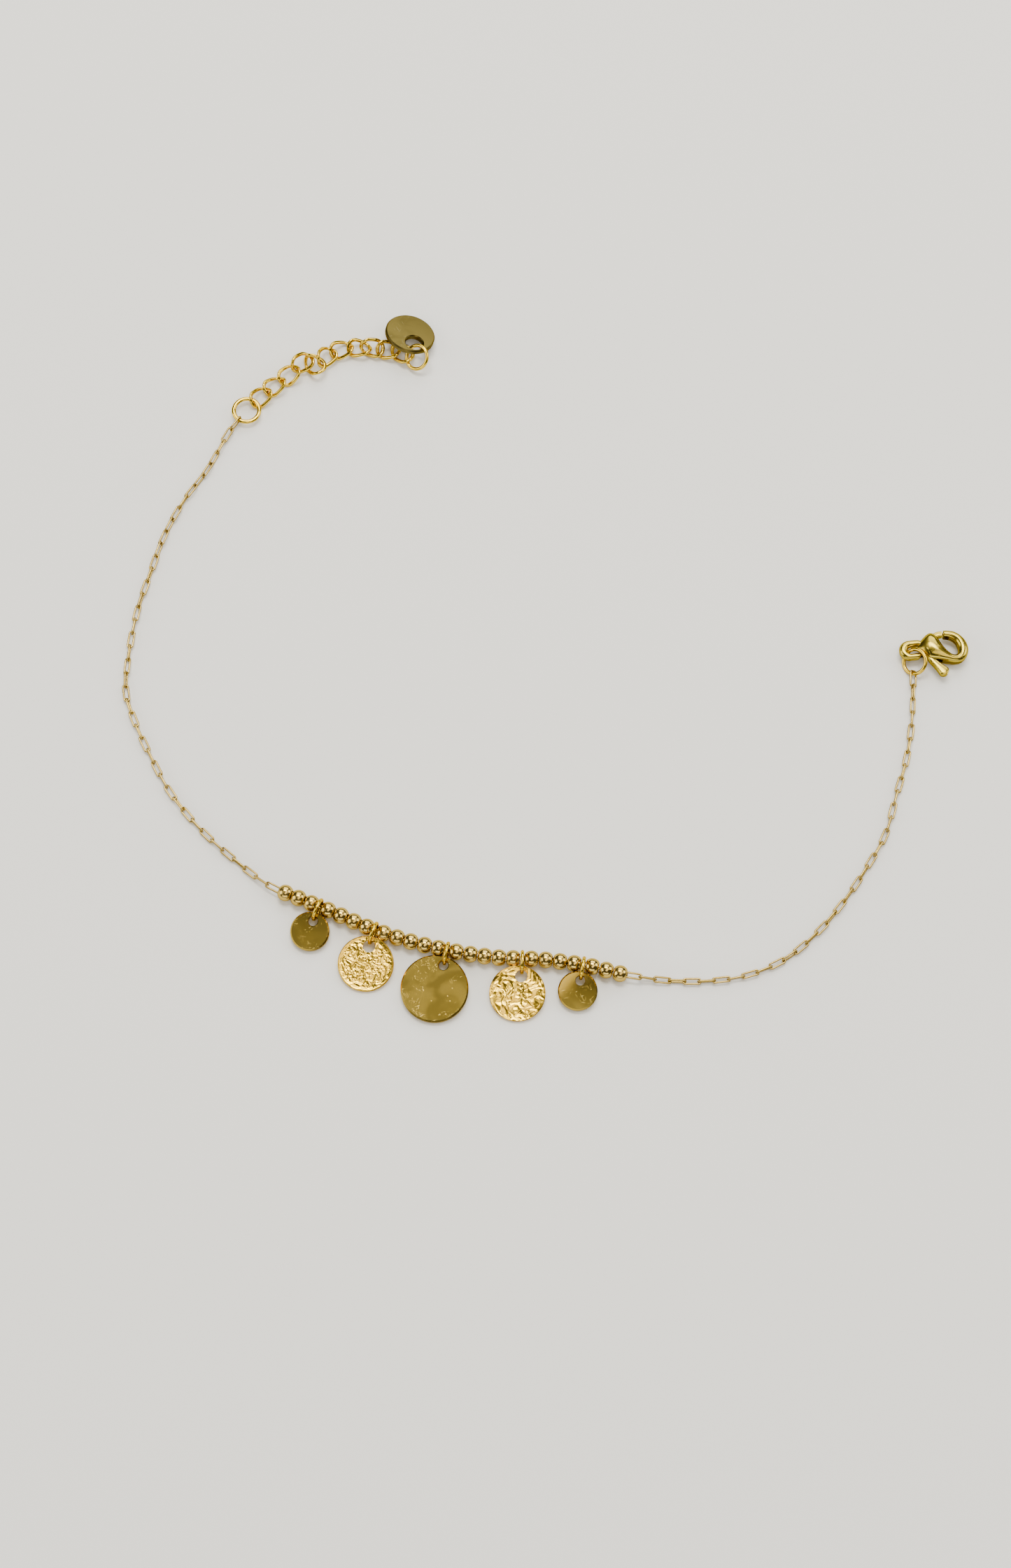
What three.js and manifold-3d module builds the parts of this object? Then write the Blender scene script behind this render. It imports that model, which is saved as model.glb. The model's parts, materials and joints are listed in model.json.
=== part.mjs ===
// A gold charm bracelet lying open on a table: a fine link chain, 24 round beads in six groups,
// five disc charms on jump rings, a curb extender with a tag, and a sprung lobster clasp.
// Millimetres, +Z up. The origin is under the middle of the bracelet, on the table.
import * as THREE from "three";
import { mergeVertices } from "three/addons/utils/BufferGeometryUtils.js";
import Module from "manifold-3d";

const wasm = await Module();
wasm.setup();

// Driving sizes
const play = 0.12; // free space between two pieces that hook into each other

const fineLink = { pitch: 2.17, width: 1.06, wire: 0.22, corner: 0.3, bite: 0.1, endWidth: 1.3, lift: 0.015 };
const fineRoll = { left: 45, leftEnd: 45, right: 0, rightEnd: 35, settling: 8 };
const core = { radius: 0.3, reach: 0.5, gap: 0.3 };

const bead = { diameter: 2.4, bore: 1.3, gap: 0.05 };
const beadGroups = [3, 4, 5, 5, 4, 3];
const leftRun = 90.3; // along the string, from the extender's ring to the middle of the first bead
const climb = { length: 6, lead: 1.5 }; // how the string rises to the beads and to its two ends

const charmRing = { diameter: 3.5, wire: 0.45, room: 0.08, hang: 18, discPlay: 0.17 };
const smallDisc = { diameter: 5.7, thickness: 1, hole: 1.4, strip: 0.62 };
const largeDisc = { diameter: 9.8, thickness: 1, hole: 1.4, strip: 0.58 };
const beatenDisc = { diameter: 8.1, thickness: 0.55, hole: 1.8, strip: 0.6 };
const charms = [
  { name: "disc_small_left", ...smallDisc, swing: 6 },
  { name: "disc_hammered_left", ...beatenDisc, swing: 11 },
  { name: "disc_large", ...largeDisc, swing: -9 },
  { name: "disc_hammered_right", ...beatenDisc, swing: -11 },
  { name: "disc_small_right", ...smallDisc, swing: -4 },
];
const discBevel = 0.22;
const hammer = { depth: 0.12, wave: 1.1, lean: 0.7, rim: 0.94, beaten: 0.9 };

const extenderRing = { diameter: 4.5, wire: 0.5, height: 0.95 };
const extenderLink = { length: 3.95, width: 3.05, wire: 0.52, corner: 1.2, twist: -40 };

const tagRing = { diameter: 4.2, wire: 0.45, to: 102 };
const tag = {
  diameter: 7.8, thickness: 0.85, hole: 2.8, strip: 0.45, slide: 0.25, tilt: 21, lean: 48, heading: -75,
};

const claspRing = { diameter: 4.2, wire: 0.5, roll: 38, heading: 112, chainAt: 215 };
const clasp = {
  length: 10.3, thickness: 2.75, heading: 1, bevel: 0.55, bevelWidth: 0.3,
  eye: 2.9, eyeWire: 0.72, neck: 1.1, neckDepth: 0.8, neckTurn: 25,
  hookWidth: 1.2, hookDepth: 1.7, gapFrom: 5, gapTo: 80, pin: 0.6, pinPlay: 0.1,
};
const lever = { thickness: 1, slack: 0.1, arm: 0.9, tab: 1.1, hub: 1.6, gate: 2.45, swing: 22, spare: 3 };

// How finely round things are divided
const facets = {
  wire: 5, ring: 14, fineLink: 8, extenderLink: 12, coreQuarter: 3, beadTurn: 10, beadArc: 4,
  plate: 9, beatenTurn: 24, beatenRings: 5, drill: 16, eyeWire: 6, barEnd: 5, drum: 16,
  hookSteps: 14, hookSection: 5, belly: 22, route: 2000,
};
const weld = 1e-4; // points nearer than this are one point

// The route of the string on the table, chosen by hand
const route = {
  string: [
    [-46.85, 39.4], [-48.8, 36.6], [-51.8, 30.6], [-55.2, 25.3], [-57.9, 19.5], [-59.8, 13.2],
    [-61.5, 7], [-62.5, -0.4], [-62.6, -6.2], [-61, -11.1], [-58.7, -16], [-55.4, -22],
    [-50.8, -27.7], [-45.5, -32.6], [-40.1, -36.8], [-36.3, -38.5], [-31.3, -40.6], [-26, -43],
    [-20, -45.1], [-13.2, -46.7], [-7, -47.6], [-0.6, -47.9], [6.3, -48.9], [10.5, -50],
    [16.7, -50.8], [22.9, -50.9], [28.8, -50], [34.3, -47.6], [39.2, -43.5], [43.1, -38.9],
    [46.6, -33.8], [49.6, -28.6], [51.5, -22.5], [53.3, -16.6], [54.4, -10.3], [54.9, -2.7],
  ],
};

// How each extender link and the tag's ring have come to rest, two places being bunched up: the
// middle x, y, z, and the heading, rise and roll in degrees
const fallenLinks = [
  [-43.92, 42.86, 0.97, 45, -1, 10],
  [-41.82, 44.81, 0.98, 39, 0, -1],
  [-39.62, 46.64, 1.09, 42, 6, 9],
  [-37.61, 48.53, 1.54, 32, -5, 28],
  [-35.73, 48.23, 1.28, -37, 8, 25],
  [-33.94, 49.72, 1.34, 50, -16, 27],
  [-31.59, 51.15, 0.93, 22, -4, 5],
  [-28.8, 51.36, 0.95, -3, -3, 0],
  [-26.79, 51.28, 1.27, -8, -7, 37],
  [-24.26, 51, 1.07, -1, -1, 14],
  [-22.13, 50.38, 1.11, -29, 0, 22],
];
const fallenTagRing = [-19.8, 49.33, 1.77, -10, 27, 25];

// Clasp outlines, as shares of its length, from the middle of the eye: along it, then across it
const bellyOutline = [
  [0.19, 0.1], [0.23, 0.21], [0.32, 0.265], [0.41, 0.2], [0.5, 0.07], [0.6, -0.05],
  [0.56, -0.14], [0.42, -0.12], [0.28, -0.08], [0.2, 0],
];
const hookRoute = [
  [0.42, -0.01], [0.54, -0.075], [0.66, -0.115], [0.75, -0.1], [0.8, 0.01], [0.775, 0.13],
  [0.69, 0.225], [0.58, 0.258], [0.48, 0.262],
];
const neckEnd = { along: 0.25, across: 0.06 };
const pinPlace = { along: 0.31, across: 0.075 };
const gatePlace = { along: 0.475, across: 0.27 };
const tabRoot = { along: 0.285, across: -0.1 };
const tabEnd = { along: 0.485, across: -0.29 };

const colours = {
  fine: { color: 0xd8b486, roughness: 0.25, metalness: 1 },
  bead: { color: 0xc9a24a, roughness: 0.08, metalness: 1 },
  bright: { color: 0xd9a93a, roughness: 0.18, metalness: 1 },
  satin: { color: 0xb49a4c, roughness: 0.3, metalness: 1 },
  hammered: { color: 0xd9b75e, roughness: 0.16, metalness: 1 },
};

const up = new THREE.Vector3(0, 0, 1);
const rad = THREE.MathUtils.degToRad;
const smooth = (t) => THREE.MathUtils.smoothstep(t, 0, 1);

// Solids for cutting and joining
function toSolid(geometry, matrix = new THREE.Matrix4()) {
  const plain = geometry.clone();
  plain.deleteAttribute("normal");
  plain.deleteAttribute("uv");
  plain.applyMatrix4(matrix);
  const merged = mergeVertices(plain, weld);
  return new wasm.Manifold(new wasm.Mesh({
    numProp: 3,
    vertProperties: new Float32Array(merged.attributes.position.array),
    triVerts: new Uint32Array(merged.index.array),
  }));
}

function toGeometry(solid) {
  const mesh = solid.getMesh();
  const geometry = new THREE.BufferGeometry();
  geometry.setAttribute("position", new THREE.BufferAttribute(mesh.vertProperties, 3));
  geometry.setIndex(new THREE.BufferAttribute(mesh.triVerts, 1));
  geometry.computeVertexNormals();
  return geometry;
}

// A wire link: a torus with straight lengths let into it, lying along X, twisted about X
function linkGeometry({ length, width, wire, corner, twist = 0 }, steps) {
  const geometry = new THREE.TorusGeometry(corner, wire / 2, facets.wire, steps);
  geometry.rotateZ(Math.PI / steps);
  const reach = corner * Math.cos(Math.PI / steps);
  const halfLong = length / 2 - wire / 2;
  const longShift = halfLong - reach;
  const wideShift = width / 2 - wire / 2 - reach;
  const place = geometry.attributes.position;
  const point = new THREE.Vector3();
  for (let i = 0; i < place.count; i += 1) {
    point.fromBufferAttribute(place, i);
    point.x += Math.sign(point.x) * longShift;
    point.y += Math.sign(point.y) * wideShift;
    point.applyAxisAngle(new THREE.Vector3(1, 0, 0), rad(twist) * point.x / halfLong);
    place.setXYZ(i, point.x, point.y, point.z);
  }
  return geometry;
}

function ringGeometry({ diameter, wire }) {
  return new THREE.TorusGeometry(diameter / 2 - wire / 2, wire / 2, facets.wire, facets.ring);
}

function circlePath(x, y, radius) {
  return new THREE.Path().absarc(x, y, radius, 0, Math.PI * 2, true);
}

// A flat round plate with a bevelled rim and one hole near its edge, its hole towards -X
function plateGeometry({ diameter, thickness, hole, strip }) {
  const outline = new THREE.Shape();
  outline.absarc(0, 0, diameter / 2 - discBevel, 0, Math.PI * 2, false);
  const holeX = -(diameter / 2 - strip - hole / 2);
  outline.holes.push(circlePath(holeX, 0, hole / 2 + discBevel));
  const geometry = new THREE.ExtrudeGeometry(outline, {
    depth: thickness - 2 * discBevel,
    bevelThickness: discBevel,
    bevelSize: discBevel,
    bevelSegments: 1,
    curveSegments: facets.plate,
  });
  return geometry.translate(0, 0, discBevel - thickness / 2);
}

// A thin beaten plate: its upper face is raised and sunk in waves inside a plain rim
function hammeredGeometry({ diameter, thickness, hole, strip }, phase) {
  const radius = diameter / 2;
  const profile = [new THREE.Vector2(0, -thickness / 2)];
  profile.push(new THREE.Vector2(radius, -thickness / 2));
  profile.push(new THREE.Vector2(radius, thickness / 2));
  for (let ring = facets.beatenRings; ring > 0; ring -= 1) {
    profile.push(new THREE.Vector2(radius * hammer.rim * ring / facets.beatenRings, thickness / 2));
  }
  profile.push(new THREE.Vector2(0, thickness / 2));
  const geometry = new THREE.LatheGeometry(profile, facets.beatenTurn).rotateX(Math.PI / 2);
  const place = geometry.attributes.position;
  const inner = radius * hammer.beaten;
  for (let i = 0; i < place.count; i += 1) {
    const x = place.getX(i);
    const y = place.getY(i);
    if (place.getZ(i) > 0 && Math.hypot(x, y) < inner) {
      const along = Math.sin((x + hammer.lean * y) * Math.PI / hammer.wave + phase);
      const across = Math.sin((y - hammer.lean * x) * Math.PI / hammer.wave - phase);
      place.setZ(i, thickness / 2 + hammer.depth * (along * across - 1) / 2);
    }
  }
  const drill = new THREE.CylinderGeometry(hole / 2, hole / 2, 2 * thickness, facets.drill);
  drill.rotateX(Math.PI / 2).translate(-(radius - strip - hole / 2), 0, 0);
  return toGeometry(toSolid(geometry).subtract(toSolid(drill)));
}

function beadGeometry() {
  const radius = bead.diameter / 2;
  const opening = Math.asin(bead.bore / bead.diameter);
  const profile = [];
  for (let i = 0; i <= facets.beadArc; i += 1) {
    const angle = THREE.MathUtils.lerp(-Math.PI + opening, -opening, i / facets.beadArc);
    profile.push(new THREE.Vector2(-radius * Math.sin(angle), radius * Math.cos(angle)));
  }
  profile.push(profile[0].clone());
  return new THREE.LatheGeometry(profile, facets.beadTurn).rotateZ(-Math.PI / 2);
}

// The string: a smooth curve on the table, with heights along it
const flat = (points) => points.map(([x, y]) => new THREE.Vector3(x, y, 0));
const stringCurve = new THREE.CatmullRomCurve3(flat(route.string));
stringCurve.arcLengthDivisions = facets.route;
const stringLength = stringCurve.getLength();

const beadLength = Math.sqrt(bead.diameter ** 2 - bead.bore ** 2);
const beadPitch = beadLength + bead.gap;
const charmStep = beadLength + charmRing.wire + 2 * charmRing.room;
const beadPlaces = [];
const charmPlaces = [];
let along = leftRun;
beadGroups.forEach((count, group) => {
  for (let i = 0; i < count; i += 1) {
    beadPlaces.push(along);
    along += i < count - 1 ? beadPitch : charmStep;
  }
  if (group < beadGroups.length - 1) charmPlaces.push(along - charmStep / 2);
});
const firstBead = beadPlaces[0];
const lastBead = beadPlaces[beadPlaces.length - 1];

const claspMiddle = clasp.thickness / 2;
const claspRingRadius = claspRing.diameter / 2 - claspRing.wire / 2;
const chainEndDrop = claspRingRadius * Math.sin(rad(claspRing.roll)) * Math.sin(rad(claspRing.chainAt));
const chainEndHeight = claspMiddle + chainEndDrop;

function stringHeight(s) {
  const low = fineLink.width / 2 + fineLink.lift;
  const beadRise = (bead.diameter / 2 - low)
    * smooth(1 - (firstBead - s - climb.lead) / climb.length)
    * smooth(1 - (s - lastBead - climb.lead) / climb.length);
  const startRise = (extenderRing.height - low) * smooth(1 - s / climb.length);
  const endRise = (chainEndHeight - low) * smooth(1 - (stringLength - s) / climb.length);
  return low + beadRise + startRise + endRise;
}

function stringPoint(s) {
  const point = stringCurve.getPointAt(THREE.MathUtils.clamp(s / stringLength, 0, 1));
  point.z = stringHeight(s);
  return point;
}

// A frame whose X follows the string, turned by a roll about it
function frameAt(point, direction, roll) {
  const x = direction.clone().normalize();
  const side = new THREE.Vector3().crossVectors(up, x).normalize();
  const y = side.applyAxisAngle(x, rad(roll));
  const z = new THREE.Vector3().crossVectors(x, y);
  return new THREE.Matrix4().makeBasis(x, y, z).setPosition(point);
}

function stringFrame(s, roll = 0) {
  const reach = fineLink.pitch / 2;
  const before = stringPoint(Math.max(s - reach, 0));
  const after = stringPoint(Math.min(s + reach, stringLength));
  return frameAt(stringPoint(s), after.sub(before), roll);
}

// One run of fine links between two places on the string, all fused where they hook together,
// each a quarter turn from the next
function fineRun(from, to, roll, endTurn, endIsFirst) {
  const count = Math.round((to - from) / fineLink.pitch);
  const pitch = (to - from - 2 * fineLink.wire + fineLink.bite) / count;
  const length = pitch + 2 * fineLink.wire - fineLink.bite;
  const start = from + length / 2;
  let run = null;
  for (let i = 0; i < count; i += 1) {
    const fromEnd = endIsFirst ? i : count - 1 - i;
    const turn = roll + 90 * fromEnd + endTurn * smooth(1 - fromEnd / fineRoll.settling);
    const width = fromEnd === 0 ? fineLink.endWidth : fineLink.width;
    const shape = linkGeometry({ ...fineLink, width, length }, facets.fineLink);
    const link = toSolid(shape, stringFrame(start + i * pitch, turn));
    run = run ? run.add(link) : link;
  }
  return run;
}

// The plain stretch of the chain inside the beads
function coreSolid(from, to) {
  const section = new THREE.Shape();
  section.absarc(0, 0, core.radius, 0, Math.PI * 2, false);
  const points = [];
  const steps = Math.ceil((to - from) / beadPitch);
  for (let i = 0; i <= steps; i += 1) {
    points.push(stringPoint(THREE.MathUtils.lerp(from, to, i / steps)));
  }
  const path = new THREE.CatmullRomCurve3(points);
  return toSolid(new THREE.ExtrudeGeometry(section, {
    steps,
    extrudePath: path,
    curveSegments: facets.coreQuarter,
  }));
}

const bracelet = new THREE.Group();

function addPiece(name, geometry, finish, matrix) {
  const mesh = new THREE.Mesh(geometry, new THREE.MeshStandardMaterial(colours[finish]));
  mesh.name = name;
  if (matrix) matrix.decompose(mesh.position, mesh.quaternion, mesh.scale);
  bracelet.add(mesh);
  return mesh;
}

function addChain() {
  const middle = beadPlaces[beadPlaces.length / 2 - 1];
  const entry = beadLength / 2 - core.reach;
  const left = fineRun(0, firstBead - entry, fineRoll.left, fineRoll.leftEnd, true);
  const leftCore = coreSolid(firstBead - beadLength / 2, middle - core.gap / 2);
  addPiece("chain_left", toGeometry(left.add(leftCore)), "fine");
  const right = fineRun(lastBead + entry, stringLength, fineRoll.right, fineRoll.rightEnd, false);
  const rightCore = coreSolid(middle + core.gap / 2, lastBead + beadLength / 2);
  addPiece("chain_right", toGeometry(right.add(rightCore)), "fine");
}

function addBeads() {
  beadPlaces.forEach((s, i) => {
    const name = `bead_${String(i + 1).padStart(2, "0")}`;
    addPiece(name, beadGeometry(), "bead", stringFrame(s));
  });
}

// A charm hangs towards the lower side of the string: its ring stands on the table across the
// string, and its disc leans from the ring down to the table
function addCharms() {
  const ringRadius = charmRing.diameter / 2 - charmRing.wire / 2;
  const ringInside = charmRing.diameter / 2 - charmRing.wire;
  const ringHeight = charmRing.diameter / 2;
  const drop = ringHeight - bead.diameter / 2;
  const offset = Math.sqrt((ringInside - core.radius - play) ** 2 - drop ** 2);
  charms.forEach((charm, i) => {
    const frame = stringFrame(charmPlaces[i]);
    const origin = new THREE.Vector3().setFromMatrixPosition(frame).setZ(0);
    const alongString = new THREE.Vector3().setFromMatrixColumn(frame, 0).setZ(0).normalize();
    const out = new THREE.Vector3().crossVectors(alongString, up);
    const centre = origin.clone().addScaledVector(out, offset).setZ(ringHeight);
    const ringFrame = new THREE.Matrix4().makeBasis(out, up, alongString.clone().negate());
    addPiece(`charm_ring_${i + 1}`, ringGeometry(charmRing), "bright", ringFrame.setPosition(centre));

    const hang = rad(charmRing.hang);
    const wire = centre.clone().addScaledVector(out, ringRadius * Math.cos(hang));
    wire.z -= ringRadius * Math.sin(hang);
    const toWire = charm.diameter / 2 - charm.strip - charmRing.wire / 2 - charmRing.discPlay;
    const lean = Math.asin((wire.z - charm.thickness / 2) / (charm.diameter / 2 + toWire));
    const away = out.clone().applyAxisAngle(up, rad(charm.swing));
    const side = new THREE.Vector3().crossVectors(up, away);
    const down = away.clone().applyAxisAngle(side, lean);
    const face = new THREE.Vector3().crossVectors(down, side);
    const discFrame = new THREE.Matrix4().makeBasis(down, side, face);
    discFrame.setPosition(wire.clone().addScaledVector(down, toWire));
    const beaten = charm.name.includes("hammered");
    const geometry = beaten ? hammeredGeometry(charm, i) : plateGeometry(charm);
    addPiece(charm.name, geometry, beaten ? "hammered" : "satin", discFrame);
  });
}

function fallenFrame([x, y, z, heading, rise, roll]) {
  const level = Math.cos(rad(rise));
  const direction = new THREE.Vector3(
    level * Math.cos(rad(heading)), level * Math.sin(rad(heading)), Math.sin(rad(rise)));
  return frameAt(new THREE.Vector3(x, y, z), direction, roll);
}

// The extender: its ring holds the chain's first link
function addExtender() {
  const start = stringPoint(0);
  const inward = start.clone().sub(stringPoint(fineLink.pitch)).setZ(0).normalize();
  const ringRadius = extenderRing.diameter / 2 - extenderRing.wire / 2;
  const chainReach = ringRadius - extenderRing.wire / 2 - fineLink.wire - play;
  const ringCentre = start.clone().addScaledVector(inward, chainReach).setZ(extenderRing.height);
  addPiece("extender_ring", ringGeometry(extenderRing), "bright",
    new THREE.Matrix4().setPosition(ringCentre));

  const shape = linkGeometry(extenderLink, facets.extenderLink);
  fallenLinks.forEach((pose, i) => {
    addPiece(`extender_link_${String(i + 1).padStart(2, "0")}`, shape, "bright", fallenFrame(pose));
  });
}

// The tag hangs from a place on its ring, which passes through the extender's last link
function addTag() {
  const ringFrame = fallenFrame(fallenTagRing);
  addPiece("tag_ring", ringGeometry(tagRing), "bright", ringFrame);
  const radius = tagRing.diameter / 2 - tagRing.wire / 2;
  const angle = rad(tagRing.to);
  const held = new THREE.Vector3(radius * Math.cos(angle), radius * Math.sin(angle), 0);
  held.applyMatrix4(ringFrame);
  const leanAxis = new THREE.Vector3(-Math.sin(rad(tag.lean)), Math.cos(rad(tag.lean)), 0);
  const face = up.clone().applyAxisAngle(leanAxis, rad(tag.tilt));
  const towards = new THREE.Vector3(Math.cos(rad(tag.heading)), Math.sin(rad(tag.heading)), 0);
  const x = towards.projectOnPlane(face).normalize().negate();
  const y = new THREE.Vector3().crossVectors(face, x);
  const toHole = tag.diameter / 2 - tag.strip - tag.hole / 2 + tag.slide;
  const tagFrame = new THREE.Matrix4().makeBasis(x, y, face);
  addPiece("tag", plateGeometry(tag), "satin", tagFrame.setPosition(held.addScaledVector(x, toHole)));
}

// A flat bar with round ends between two places of the clasp
function barSolid(from, to, width, thickness) {
  const reach = to.clone().sub(from);
  const shape = new THREE.Shape();
  shape.absarc(0, 0, width / 2, Math.PI / 2, Math.PI * 1.5, false);
  shape.absarc(reach.length(), 0, width / 2, -Math.PI / 2, Math.PI / 2, false);
  const geometry = new THREE.ExtrudeGeometry(shape, {
    depth: thickness,
    bevelEnabled: false,
    curveSegments: facets.barEnd,
  });
  geometry.translate(0, 0, -thickness / 2);
  geometry.rotateZ(Math.atan2(reach.y, reach.x));
  return toSolid(geometry.translate(from.x, from.y, 0));
}

// A flat slice of a round, about the pin, in the middle of the clasp's thickness
function sliceSolid(middle, radius, fromAngle, toAngle, thickness) {
  const shape = new THREE.Shape();
  shape.moveTo(0, 0);
  shape.lineTo(radius * Math.cos(rad(fromAngle)), radius * Math.sin(rad(fromAngle)));
  shape.absarc(0, 0, radius, rad(fromAngle), rad(toAngle), false);
  const geometry = new THREE.ExtrudeGeometry(shape, {
    depth: thickness,
    bevelEnabled: false,
    curveSegments: facets.barEnd,
  });
  return toSolid(geometry.translate(middle.x, middle.y, -thickness / 2));
}

function drumSolid(middle, radius, thickness) {
  const geometry = new THREE.CylinderGeometry(radius, radius, thickness, facets.drum);
  geometry.rotateX(Math.PI / 2);
  return toSolid(geometry.translate(middle.x, middle.y, 0));
}

const claspPoint = ({ along: u, across: v }) => new THREE.Vector2(u, v).multiplyScalar(clasp.length);
const pinPoint = claspPoint(pinPlace);
const gatePoint = claspPoint(gatePlace).sub(pinPoint).setLength(lever.gate).add(pinPoint);

function bellySolid() {
  const points = bellyOutline.map(([u, v]) => claspPoint({ along: u, across: v }));
  const edge = new THREE.CatmullRomCurve3(points.map(({ x, y }) => new THREE.Vector3(x, y, 0)), true);
  const outline = edge.getPoints(facets.belly).slice(1).map(({ x, y }) => new THREE.Vector2(x, y));
  const geometry = new THREE.ExtrudeGeometry(new THREE.Shape(outline), {
    depth: clasp.thickness - 2 * clasp.bevel,
    bevelThickness: clasp.bevel,
    bevelSize: clasp.bevelWidth,
    bevelOffset: -clasp.bevelWidth,
    bevelSegments: 2,
  });
  return toSolid(geometry.translate(0, 0, clasp.bevel - clasp.thickness / 2));
}

function hookSolid() {
  const points = hookRoute.map(([u, v]) => new THREE.Vector3(u, v, 0).multiplyScalar(clasp.length));
  const path = new THREE.CatmullRomCurve3(points);
  const section = new THREE.Shape();
  section.absellipse(0, 0, clasp.hookDepth / 2, clasp.hookWidth / 2, 0, Math.PI * 2, false, 0);
  return toSolid(new THREE.ExtrudeGeometry(section, {
    steps: facets.hookSteps,
    extrudePath: path,
    curveSegments: facets.hookSection,
  }));
}

function claspBodySolid() {
  const eyeRadius = clasp.eye / 2 - clasp.eyeWire / 2;
  const eye = toSolid(
    new THREE.TorusGeometry(eyeRadius, clasp.eyeWire / 2, facets.eyeWire, facets.ring));
  const neckFrom = new THREE.Vector2(eyeRadius, 0);
  neckFrom.rotateAround(new THREE.Vector2(), rad(clasp.neckTurn));
  const neckTo = claspPoint(neckEnd);
  const neck = barSolid(neckFrom, neckTo, clasp.neck, clasp.neckDepth);
  const slot = lever.thickness + 2 * lever.slack;
  const room = lever.gate + lever.arm / 2 + lever.slack;
  const spread = THREE.MathUtils.radToDeg(Math.asin(lever.arm / lever.hub)) + lever.spare;
  const gateAngle = THREE.MathUtils.radToDeg(gatePoint.clone().sub(pinPoint).angle());
  const tabAngle = THREE.MathUtils.radToDeg(claspPoint(tabRoot).sub(pinPoint).angle());
  const eyeHole = drumSolid(new THREE.Vector2(), eyeRadius, clasp.thickness);
  return eye.add(neck.subtract(eyeHole)).add(bellySolid())
    .add(hookSolid().subtract(sliceSolid(pinPoint, room, clasp.gapFrom, clasp.gapTo, clasp.thickness)))
    .subtract(sliceSolid(pinPoint, room, gateAngle - spread - lever.swing, gateAngle + spread, slot))
    .subtract(sliceSolid(pinPoint, room, tabAngle - spread - lever.swing, tabAngle + spread, slot))
    .subtract(drumSolid(pinPoint, lever.hub / 2 + lever.slack, slot))
    .add(drumSolid(pinPoint, clasp.pin / 2, clasp.thickness - clasp.bevel));
}

function claspLeverSolid() {
  const root = claspPoint(tabRoot);
  return barSolid(pinPoint, gatePoint, lever.arm, lever.thickness)
    .add(barSolid(pinPoint, root, lever.arm, lever.thickness))
    .add(barSolid(root, claspPoint(tabEnd), lever.tab, lever.thickness))
    .add(drumSolid(pinPoint, lever.hub / 2, lever.thickness))
    .subtract(drumSolid(pinPoint, clasp.pin / 2 + clasp.pinPlay, clasp.thickness));
}

// The chain's last link holds the clasp's ring, and the ring passes through the clasp's eye
function addClasp() {
  const end = stringPoint(stringLength);
  const backward = stringPoint(stringLength - fineLink.pitch).sub(end).setZ(0).normalize();
  const hooked = end.clone().addScaledVector(backward, claspRing.wire / 2 + fineLink.wire + play);
  hooked.z = chainEndHeight;
  const toEye = new THREE.Vector3(Math.cos(rad(claspRing.heading)), Math.sin(rad(claspRing.heading)), 0);
  const across = new THREE.Vector3().crossVectors(toEye, up).applyAxisAngle(toEye, -rad(claspRing.roll));
  const normal = new THREE.Vector3().crossVectors(across, toEye);
  const onRing = (angle) => toEye.clone().multiplyScalar(claspRingRadius * Math.cos(rad(angle)))
    .addScaledVector(across, claspRingRadius * Math.sin(rad(angle)));
  const centre = hooked.clone().sub(onRing(claspRing.chainAt));
  const ringFrame = new THREE.Matrix4().makeBasis(across, toEye, normal).setPosition(centre);
  addPiece("clasp_ring", ringGeometry(claspRing), "bright", ringFrame);

  const eye = centre.add(onRing(0)).setZ(claspMiddle);
  const claspFrame = new THREE.Matrix4().makeRotationZ(rad(clasp.heading)).setPosition(eye);
  addPiece("clasp_body", toGeometry(claspBodySolid()), "bright", claspFrame);
  addPiece("clasp_lever", toGeometry(claspLeverSolid()), "bright", claspFrame);
}

addChain();
addBeads();
addCharms();
addExtender();
addTag();
addClasp();

export default bracelet;
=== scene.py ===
import json
import math
import random

import bmesh
import bpy
import numpy as np
from mathutils import Matrix, Vector, noise


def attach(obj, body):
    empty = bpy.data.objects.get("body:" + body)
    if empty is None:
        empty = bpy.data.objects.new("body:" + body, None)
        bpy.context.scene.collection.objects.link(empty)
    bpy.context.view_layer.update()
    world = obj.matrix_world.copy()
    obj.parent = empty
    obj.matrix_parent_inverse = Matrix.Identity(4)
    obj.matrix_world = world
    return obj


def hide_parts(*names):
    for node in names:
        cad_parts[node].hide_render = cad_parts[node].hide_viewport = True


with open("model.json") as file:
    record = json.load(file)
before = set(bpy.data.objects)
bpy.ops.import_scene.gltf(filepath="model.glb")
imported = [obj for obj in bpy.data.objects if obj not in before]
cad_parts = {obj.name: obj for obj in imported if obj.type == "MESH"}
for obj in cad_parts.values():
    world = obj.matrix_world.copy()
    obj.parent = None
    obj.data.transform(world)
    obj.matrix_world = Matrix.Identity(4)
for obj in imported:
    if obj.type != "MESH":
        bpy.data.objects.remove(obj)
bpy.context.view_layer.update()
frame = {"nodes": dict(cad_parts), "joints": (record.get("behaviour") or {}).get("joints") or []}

mm = 0.001   # lengths below are in millimetres, the finished meshes in metres
random.seed(5)
noise.seed_set(5)

for spare in ("Cube", "Light", "Camera"):
    if spare in bpy.data.objects:
        bpy.data.objects.remove(bpy.data.objects[spare])


# the camera: millimetres and degrees
view = {"target": (-6.04, -20.54, 0), "distance": 432, "elevation": 70, "angle": 30}

camera = bpy.data.objects.new("camera", bpy.data.cameras.new("camera"))
bpy.context.scene.collection.objects.link(camera)
bpy.context.scene.camera = camera
camera.data.sensor_fit = "VERTICAL"
camera.data.angle = math.radians(view["angle"])
camera.data.clip_start = 0.01
lift = math.radians(view["elevation"])
away = Vector((0, -math.cos(lift), math.sin(lift))) * view["distance"]
camera.location = (Vector(view["target"]) + away) * mm
camera.rotation_euler = away.to_track_quat("Z", "Y").to_euler()
print("camera ready")


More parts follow.
